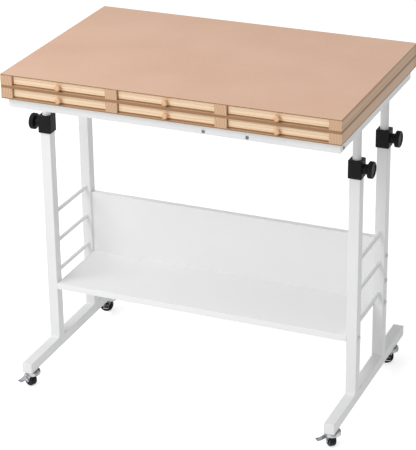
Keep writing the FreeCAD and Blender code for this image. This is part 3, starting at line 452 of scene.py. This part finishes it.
def white_powder_coat(look):
    # Powder-coated mild steel: polyester powder baked to a white satin skin, with a faint orange peel that
    # softens the highlights and hardly any change of colour
    material, tree, shader, where = new_material("white_powder_coat")
    peel = add(tree, "TexNoise", {"Vector": where["Object"], "Scale": 1 / look.peel_size, "Detail": 1.0})
    slow = add(tree, "TexNoise", {"Vector": where["Object"], "Scale": 1 / look.coat_cloud, "Detail": 2.0})
    tone = add(tree, "Mix", {0: slow.outputs[0], 6: look.coat, 7: look.coat_shade}, data_type="RGBA")
    tree.links.new(tone.outputs[2], shader.inputs["Base Color"])
    rough = add(tree, "MapRange", {"Value": peel.outputs[0], "To Min": 0.34, "To Max": 0.46})
    tree.links.new(rough.outputs[0], shader.inputs["Roughness"])
    bump = add(tree, "Bump", {"Height": peel.outputs[0], "Strength": 0.2, "Distance": 0.0002})
    tree.links.new(bump.outputs[0], shader.inputs["Normal"])
    shader.inputs["IOR"].default_value = 1.5
    return material


def white_melamine(look):
    # Melamine-faced chipboard: resin-soaked white paper pressed on with a fine pearl texture, satin and even
    material, tree, shader, where = new_material("white_melamine")
    pearl = add(tree, "TexVoronoi", {"Vector": where["Object"], "Scale": 1 / look.pearl_size})
    slow = add(tree, "TexNoise", {"Vector": where["Object"], "Scale": 1 / look.film_cloud, "Detail": 2.0})
    tone = add(tree, "Mix", {0: slow.outputs[0], 6: look.melamine, 7: look.melamine_shade}, data_type="RGBA")
    tree.links.new(tone.outputs[2], shader.inputs["Base Color"])
    rough = add(tree, "MapRange", {"Value": pearl.outputs["Distance"], "To Min": 0.38, "To Max": 0.5})
    tree.links.new(rough.outputs[0], shader.inputs["Roughness"])
    bump = add(tree, "Bump", {"Height": pearl.outputs["Distance"], "Strength": 0.1, "Distance": 0.0002})
    tree.links.new(bump.outputs[0], shader.inputs["Normal"])
    shader.inputs["IOR"].default_value = 1.5
    return material


def moulded_plastic(name, look, base, bloom, rough, grit, gloss=0.5):
    # Injection-moulded plastic: a fine spark-eroded grain from the tool and faint flow marks. The grain is
    # drawn coarser than the real tenth of a millimetre, so that it breaks the highlights in the picture
    material, tree, shader, where = new_material(name)
    grain = add(tree, "TexNoise", {"Vector": where["Object"], "Scale": 1 / grit, "Detail": 2.0})
    flow = add(tree, "TexNoise", {"Vector": where["Object"], "Scale": 1 / look.flow_size, "Detail": 3.0,
                                  "Distortion": 1.0})
    tone = add(tree, "Mix", {0: flow.outputs[0], 6: base, 7: bloom}, data_type="RGBA")
    tree.links.new(tone.outputs[2], shader.inputs["Base Color"])
    spread = add(tree, "MapRange", {"Value": grain.outputs[0], "To Min": rough - 0.07,
                                    "To Max": rough + 0.07})
    tree.links.new(spread.outputs[0], shader.inputs["Roughness"])
    bump = add(tree, "Bump", {"Height": grain.outputs[0], "Strength": 0.25, "Distance": 0.0001})
    tree.links.new(bump.outputs[0], shader.inputs["Normal"])
    shader.inputs["IOR"].default_value = 1.5
    shader.inputs["Specular IOR Level"].default_value = gloss
    return material


def plated_steel(name, look, base, rough, streak, painted_reflection_contrast):
    # Plated steel pressing or screw: a thin bright metal skin over fine drawing marks, with broad soft painted
    # reflections in its colour
    material, tree, shader, where = new_material(name)
    smear = add(tree, "TexNoise", {"Vector": where["Object"], "Scale": 1 / look.smear_size, "Detail": 3.0})
    drawn = add(tree, "Mapping", {"Vector": where["Object"], "Scale": (1.0, 1.0, 0.1)})
    marks = add(tree, "TexNoise", {"Vector": drawn.outputs[0], "Scale": 1 / streak, "Detail": 2.0})
    spread = add(tree, "MapRange", {"Value": smear.outputs[0], "To Min": rough - 0.05, "To Max": rough + 0.1})
    tree.links.new(spread.outputs[0], shader.inputs["Roughness"])
    tone = add(tree, "MapRange", {"Value": marks.outputs[0], "To Min": 0.88, "To Max": 1.0})
    faded = add(tree, "Mix", {0: 1.0, 6: base, 7: tone.outputs[0]}, data_type="RGBA", blend_type="MULTIPLY")
    # painted reflections: broad light and dark patches multiplied into the base colour stand in for what the metal
    # would reflect
    sheen = add(tree, "TexNoise", {"Vector": where["Object"], "Scale": 1 / look.painted_reflection_size, "Detail": 0.0})
    cloud = add(tree, "MapRange", {"Value": sheen.outputs[0], "From Min": 0.35, "From Max": 0.65,
                                   "To Min": 1 - painted_reflection_contrast, "To Max": 1 + painted_reflection_contrast})
    painted_reflection_colour = add(tree, "Mix", {0: 1.0, 6: faded.outputs[2], 7: cloud.outputs[0]}, data_type="RGBA",
                 blend_type="MULTIPLY")
    tree.links.new(painted_reflection_colour.outputs[2], shader.inputs["Base Color"])
    bump = add(tree, "Bump", {"Height": marks.outputs[0], "Strength": 0.08, "Distance": 0.0001})
    tree.links.new(bump.outputs[0], shader.inputs["Normal"])
    shader.inputs["Metallic"].default_value = 1.0
    return material


def finish_of(name):
    """A finish that the first operator has made."""
    return bpy.data.materials[name]


class PUZZLE_OT_finishes(bpy.types.Operator):
    """Give every CAD node its finish"""
    bl_idname = "puzzle_table.finishes"
    bl_label = "Finishes"

    def execute(self, context):
        look, sizes = context.scene.puzzle_finishes, context.scene.puzzle_sizes
        by_slot = {
            # painted shade: the middle panels take the darker ledge tan all over, for the shade on the ledges
            # under the drawers
            "hardboard": smooth_hardboard("raw_hardboard", look, look.ledge_shade_face, look.ledge_shade_fleck,
                                          look.ledge_shade_face),
            "pine": self.drawer_pine(look, sizes),
            "white_steel": white_powder_coat(look),
            "white_board": white_melamine(look),
            "white_plastic": moulded_plastic("white_moulded_nylon", look, look.cap_plastic, look.coat_shade,
                                             0.42, look.mould_grain),
            "black_plastic": moulded_plastic("black_moulded_nylon", look, look.black_plastic,
                                             look.black_plastic_bloom, 0.48, look.mould_grain, gloss=0.12),
            "black_wheel": moulded_plastic("black_wheel_polymer", look, look.tread, look.black_plastic,
                                           0.38, look.tread_grain, gloss=0.15),
            "bright_steel": plated_steel("chrome_plated_steel", look, look.chrome, 0.18, look.press_mark,
                                         painted_reflection_contrast=0.35),
            "zinc_screw": plated_steel("zinc_plated_steel", look, look.zinc, 0.32, look.thread_mark,
                                       painted_reflection_contrast=0.1),
        }
        by_name = self.own_finishes(look)
        turned = self.pull_pine(look)
        for name, node in frame["nodes"].items():
            finish = turned if name.endswith("_pull") else by_name.get(name, by_slot[SLOT_OF[name]])
            node.data.materials.clear()
            node.data.materials.append(finish)
        return {"FINISHED"}

    def drawer_pine(self, look, sizes):
        """Pine whose grain follows the boards of a drawer, with its pith below and before them."""
        low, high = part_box("lower_left_drawer_frame")
        sides = (low.y + sizes.drawer_front, high.y - sizes.drawer_back)
        pith = (0.0, low.y - 0.028, STOREY_FLOOR - 0.055)
        return planed_pine("pine_drawers", look, look.pine_early, look.pine_late, "X", pith, sides)

    def pull_pine(self, look):
        """Pine of the turned pulls, cut far from the pith."""
        pith = (0.4, 0.0, STOREY_FLOOR + 0.3)
        return planed_pine("pine_pulls", look, look.pull_early, look.pull_late, "Y", pith, tint=0.45)

    def own_finishes(self, look):
        """The finishes of the nodes that differ from the rest of their slot."""
        rail = (look.rail_early, look.rail_late)
        # each storey's rails come from another log, so their ends show rings at another slant
        upper_pith, lower_pith = (0.62, 0.0, STOREY_FLOOR + 0.18), (-0.060, 0.0, STOREY_FLOOR - 0.030)
        back_pith = (0.0, 0.40, STOREY_FLOOR + 0.09)
        backs = planed_pine("pine_back_rails", look, *rail, "X", back_pith)
        return {
            "upper_rails": planed_pine("pine_rails_upper", look, *rail, "Y", upper_pith, tint=0.1),
            "lower_rails": planed_pine("pine_rails_lower", look, *rail, "Y", lower_pith, tint=0.1),
            "upper_back_rail": backs,
            "lower_back_rail": backs,
            "top_panel": smooth_hardboard("smooth_hardboard", look, look.hardboard_face, look.hardboard_fleck,
                                          look.hardboard_face),
            # painted shade: the top face of the lowest panel takes the darker ledge tan, for the shade under the
            # lower drawers
            "bottom_panel": smooth_hardboard("white_backed_hardboard", look, look.ledge_shade_face,
                                             look.ledge_shade_fleck, look.backing),
        }


class PUZZLE_OT_frame_screws(bpy.types.Operator):
    """Model the pan-head screws in the frame, with their cross recesses"""
    bl_idname = "puzzle_table.frame_screws"
    bl_label = "Frame screws"

    def execute(self, context):
        sizes = context.scene.puzzle_sizes
        boxes = solid_boxes("frame_screws")
        low, high = boxes[0]
        reach = sorted(high - low)
        pattern = self.model(reach[1] / 2, reach[2] - sizes.screw_head_height, sizes)
        for number, (low, high) in enumerate(boxes, start=1):
            middle, size = (low + high) / 2, high - low
            axis = Vector((math.copysign(1, middle.x), 0, 0)) if size.x > size.y else Vector((0, -1, 0))
            seat = middle + axis * (max(size) / 2 - sizes.screw_head_height)
            screw = copy_to(pattern, f"frame_screw_{number}", seat, axis, "tabletop",
                            finish_of("zinc_plated_steel"), turn=sizes.screw_turn * number)
            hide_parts("frame_screws")
        delete(pattern)
        return {"FINISHED"}

    def model(self, head_radius, shank_length, sizes):
        """A screw along Z, with its head standing on the XY plane."""
        height = sizes.screw_head_height
        screw = headed_pin(head_radius, height, sizes.screw_crown, sizes.screw_shank_radius, shank_length,
                           sizes.shank_chamfer, sides=40, steps=6)
        for turn in (0, math.pi / 2):
            clear_selection()
            bpy.ops.mesh.primitive_cube_add(size=1, location=(0, 0, height), rotation=(0, 0, turn),
                                            scale=(head_radius * sizes.screw_slot_reach,
                                                   sizes.screw_slot_width, 2 * sizes.screw_slot_depth))
            bpy.ops.object.transform_apply(location=True, rotation=True, scale=True)
            cut_away(screw, bpy.context.object)
        return screw


class PUZZLE_OT_shelf_bolts(bpy.types.Operator):
    """Model the button-head bolts in the legs, with their hexagon sockets"""
    bl_idname = "puzzle_table.shelf_bolts"
    bl_label = "Shelf bolts"

    def execute(self, context):
        sizes = context.scene.puzzle_sizes
        boxes = solid_boxes("shelf_bolts")
        low, high = boxes[0]
        head_radius = (high.z - low.z) / 2
        pattern = self.model(head_radius, high.x - low.x - sizes.bolt_head_height, sizes)
        look = context.scene.puzzle_finishes
        nickel = plated_steel("nickel_plated_steel", look, look.nickel, 0.3, look.thread_mark, painted_reflection_contrast=0.1)
        for number, (low, high) in enumerate(boxes, start=1):
            middle = (low + high) / 2
            axis = Vector((math.copysign(1, middle.x), 0, 0))
            seat = middle + axis * ((high.x - low.x) / 2 - sizes.bolt_head_height)
            bolt = copy_to(pattern, f"shelf_bolt_{number}", seat, axis, "stand", nickel,
                           turn=sizes.bolt_turn * number)
            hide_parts("shelf_bolts")
        delete(pattern)
        return {"FINISHED"}

    def model(self, head_radius, shank_length, sizes):
        """A bolt along Z, with its head standing on the XY plane."""
        height = sizes.bolt_head_height
        bolt = headed_pin(head_radius, height, sizes.bolt_crown, sizes.bolt_shank_radius, shank_length,
                          sizes.shank_chamfer, sides=48, steps=8)
        clear_selection()
        bpy.ops.mesh.primitive_cylinder_add(vertices=6, radius=sizes.bolt_socket,
                                            depth=2 * sizes.bolt_socket_depth, location=(0, 0, height))
        bpy.ops.object.transform_apply(location=True)
        cut_away(bolt, bpy.context.object)
        return bolt


class PUZZLE_OT_weld_beads(bpy.types.Operator):
    """Model the weld beads at the feet of the legs and round the ends of the rungs"""
    bl_idname = "puzzle_table.weld_beads"
    bl_label = "Weld beads"

    def execute(self, context):
        sizes = context.scene.puzzle_sizes
        coat = finish_of("white_powder_coat")
        legs = solid_boxes("uprights")
        low, high = legs[0]
        bead = self.straight_bead(high.x - low.x - 2 * sizes.weld_inset, sizes)
        seats = [Vector(((low.x + high.x) / 2, y, low.z)) for low, high in legs for y in (low.y, high.y)]
        for number, seat in enumerate(seats, start=1):
            copy_to(bead, f"leg_weld_{number}", seat, Vector((1, 0, 0)), "stand", coat)
        rungs = solid_boxes("side_rungs")
        low, high = rungs[0]
        ring = self.ring_bead((high.z - low.z) / 2, sizes)
        seats = [Vector(((low.x + high.x) / 2, y, (low.z + high.z) / 2)) for low, high in rungs
                 for y in (low.y, high.y)]
        for number, seat in enumerate(seats, start=1):
            copy_to(ring, f"rung_weld_{number}", seat, Vector((0, 1, 0)), "stand", coat)
        delete(bead, ring)
        return {"FINISHED"}

    def straight_bead(self, reach, sizes):
        """A rippled bead along Z, centred on the origin."""
        clear_selection()
        bpy.ops.mesh.primitive_cylinder_add(vertices=16, radius=sizes.weld_radius, depth=reach)
        bead = bpy.context.object
        edit(bead)
        cuts = 15
        for step in range(1, cuts):
            bpy.ops.mesh.select_all(action="SELECT")
            bpy.ops.mesh.bisect(plane_co=(0, 0, reach * (step / cuts - 0.5)), plane_no=(0, 0, 1))
        swollen = {round(reach * (step / cuts - 0.5), 6) for step in range(2, cuts, 2)}
        pick("edges", lambda edge: all(any(abs(v.co.z - z) < 1e-6 for z in swollen) for v in edge.verts)
             and abs(edge.verts[0].co.z - edge.verts[1].co.z) < 1e-7)
        swell = 1 + sizes.weld_swell
        bpy.ops.transform.resize(value=(swell, swell, 1.0))
        pick("edges", lambda edge: all(abs(abs(v.co.z) - reach / 2) < 1e-6 for v in edge.verts))
        bpy.ops.mesh.bevel(offset=sizes.weld_radius * sizes.weld_end, segments=3)
        tidy_mesh(60)
        return bead

    def ring_bead(self, rung_radius, sizes):
        """A rippled ring round Z, centred on the origin."""
        clear_selection()
        bpy.ops.mesh.primitive_torus_add(major_segments=36, minor_segments=10, major_radius=rung_radius,
                                         minor_radius=sizes.rung_weld_radius)
        ring = bpy.context.object
        edit(ring)
        ripples = 18
        ripple = math.tau / ripples

        def swells(face):
            middle = face.calc_center_median()
            return math.atan2(middle.y, middle.x) % ripple < ripple / 2

        pick("faces", swells)
        bpy.ops.transform.shrink_fatten(value=sizes.rung_weld_radius * sizes.rung_weld_swell)
        tidy_mesh(60)
        return ring


class PUZZLE_OT_caster_wheels(bpy.types.Operator):
    """Model the moulded wheels of the casters"""
    bl_idname = "puzzle_table.caster_wheels"
    bl_label = "Caster wheels"

    def execute(self, context):
        sizes = context.scene.puzzle_sizes
        low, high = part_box("front_left_wheel")
        pattern = self.model((high.z - low.z) / 2, sizes.wheel_width, sizes)
        for corner in CORNERS:
            joint = JOINTS[f"{corner}_roll"]
            wheel = copy_to(pattern, f"{corner}_moulded_wheel", Vector(joint["pos_m"]), Vector(joint["axis"]),
                            f"{corner}_caster_wheel", finish_of("black_wheel_polymer"))
            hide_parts(f"{corner}_wheel")
        delete(pattern)
        return {"FINISHED"}

    def model(self, radius, width, sizes):
        """A wheel round Z, centred on the origin, with recessed sides and a bored hub."""
        recess_width = sizes.wheel_recess_radius - sizes.wheel_hub_radius - 2 * sizes.wheel_draft
        clear_selection()
        bpy.ops.mesh.primitive_cylinder_add(vertices=72, radius=radius, depth=width)
        wheel = bpy.context.object
        edit(wheel)
        for face in (width / 2, -width / 2):
            pick("faces", faces_at(face))
            bpy.ops.mesh.inset(thickness=radius - sizes.wheel_recess_radius, depth=0)
            bpy.ops.mesh.inset(thickness=sizes.wheel_draft, depth=-sizes.wheel_recess_depth)
            bpy.ops.mesh.inset(thickness=recess_width, depth=0)
            bpy.ops.mesh.inset(thickness=sizes.wheel_draft, depth=sizes.wheel_recess_depth)
            bpy.ops.mesh.inset(thickness=sizes.wheel_hub_radius - sizes.wheel_bore_radius, depth=0)
            bpy.ops.mesh.delete(type="ONLY_FACE")
        pick("edges", lambda edge: edge.is_boundary)
        bpy.ops.mesh.bridge_edge_loops()
        for face in (width / 2, -width / 2):
            pick("edges", rim_at(face, radius))
            bpy.ops.mesh.bevel(offset=sizes.wheel_shoulder, segments=8)
        tidy_mesh(40)
        return wheel


class PUZZLE_OT_stage(bpy.types.Operator):
    """Lay the floor, hang the lamps and set the camera"""
    bl_idname = "puzzle_table.stage"
    bl_label = "Stage"

    def execute(self, context):
        stage = context.scene.puzzle_stage
        self.lay_floor(stage)
        self.light(context.scene, stage)
        self.set_camera(context.scene, stage)
        context.scene.view_settings.view_transform = "Standard"
        return {"FINISHED"}

    def seen(self, tree):
        """1 for rays that come straight from the camera, or by way of metal or glass."""
        path = add(tree, "LightPath")
        mirrored = add(tree, "Math", {0: path.outputs["Is Camera Ray"], 1: path.outputs["Is Glossy Ray"]},
                       operation="MAXIMUM")
        return add(tree, "Math", {0: mirrored.outputs[0], 1: path.outputs["Is Transmission Ray"]},
                   operation="MAXIMUM").outputs[0]

    def lay_floor(self, stage):
        clear_selection()
        bpy.ops.mesh.primitive_plane_add(size=40)
        floor = bpy.context.object
        floor.name = "floor"
        material, tree, shader, _ = new_material("pale_floor")
        shader.inputs["Base Color"].default_value = stage.floor
        shader.inputs["Roughness"].default_value = 0.9
        shader.inputs["Specular IOR Level"].default_value = 0.0
        shader.inputs["Emission Color"].default_value = (1.0, 1.0, 1.0, 1.0)
        lift = add(tree, "Math", {0: self.seen(tree), 1: stage.floor_lift}, operation="MULTIPLY")
        tree.links.new(lift.outputs[0], shader.inputs["Emission Strength"])
        floor.data.materials.append(material)

    def light(self, scene, stage):
        world = bpy.data.worlds.new("white_room")
        world.use_nodes = True
        tree = world.node_tree
        strength = add(tree, "MapRange", {"Value": self.seen(tree), "To Min": stage.ambient, "To Max": 1.0})
        background = tree.nodes["Background"]
        background.inputs["Color"].default_value = (1.0, 1.0, 1.0, 1.0)
        tree.links.new(strength.outputs[0], background.inputs["Strength"])
        scene.world = world
        self.hang_lamp("key_lamp", stage.key_place, stage.key, stage)
        self.hang_lamp("fill_lamp", stage.fill_place, stage.fill, stage)

    def hang_lamp(self, name, place, power, stage):
        """A round lamp that faces the middle of the table."""
        clear_selection()
        bpy.ops.object.light_add(type="AREA", location=place)
        lamp = bpy.context.object
        lamp.name = name
        lamp.data.shape = "DISK"
        lamp.data.size = stage.lamp_size
        lamp.data.energy = power
        away = Vector(place) - Vector((0, 0, stage.lamp_aim))
        lamp.rotation_euler = away.to_track_quat("Z", "Y").to_euler()

    def set_camera(self, scene, stage):
        a, e, r = stage.azimuth, stage.elevation, stage.roll
        right = Vector((math.cos(a), math.sin(a), 0))
        view = Vector((-math.sin(a) * math.cos(e), math.cos(a) * math.cos(e), -math.sin(e)))
        rise = right.cross(view)
        side = right * math.cos(r) + rise * math.sin(r)
        rise = rise * math.cos(r) - right * math.sin(r)
        turn = Matrix((side, rise, -view)).transposed().to_4x4()
        clear_selection()
        bpy.ops.object.camera_add()
        camera = bpy.context.object
        camera.name = "camera"
        board_top = Vector((0, 0, CAD_BOX[1].z))
        camera.matrix_world = Matrix.Translation(board_top + Vector(stage.camera_place)) @ turn
        camera.data.lens = stage.lens
        camera.data.sensor_width = 36
        camera.data.shift_y = stage.shift
        scene.camera = camera


OPERATORS = (PUZZLE_OT_finishes, PUZZLE_OT_frame_screws, PUZZLE_OT_shelf_bolts, PUZZLE_OT_weld_beads,
             PUZZLE_OT_caster_wheels, PUZZLE_OT_stage)
GROUPS = {"puzzle_finishes": PuzzleTableFinishes, "puzzle_sizes": PuzzleTableSizes,
          "puzzle_stage": PuzzleTableStage}


class PUZZLE_PT_sidebar(bpy.types.Panel):
    """Steps and values of the puzzle table"""
    bl_label = "Puzzle Table"
    bl_idname = "PUZZLE_PT_sidebar"
    bl_space_type = "VIEW_3D"
    bl_region_type = "UI"
    bl_category = "Puzzle Table"

    def draw(self, context):
        for operator in OPERATORS:
            self.layout.operator(operator.bl_idname)
        for name, group in GROUPS.items():
            box = self.layout.box()
            for value in group.__annotations__:
                box.prop(getattr(context.scene, name), value)


def register():
    for group in GROUPS.values():
        bpy.utils.register_class(group)
    for name, group in GROUPS.items():
        setattr(bpy.types.Scene, name, bpy.props.PointerProperty(type=group))
    for item in OPERATORS + (PUZZLE_PT_sidebar,):
        bpy.utils.register_class(item)


def unregister():
    for item in reversed(OPERATORS + (PUZZLE_PT_sidebar,)):
        bpy.utils.unregister_class(item)
    for name in GROUPS:
        delattr(bpy.types.Scene, name)
    for group in reversed(GROUPS.values()):
        bpy.utils.unregister_class(group)


def main():
    register()
    bpy.ops.puzzle_table.finishes()
    bpy.ops.puzzle_table.frame_screws()
    bpy.ops.puzzle_table.shelf_bolts()
    bpy.ops.puzzle_table.weld_beads()
    bpy.ops.puzzle_table.caster_wheels()
    bpy.ops.puzzle_table.stage()


if __name__ == "__main__":
    main()
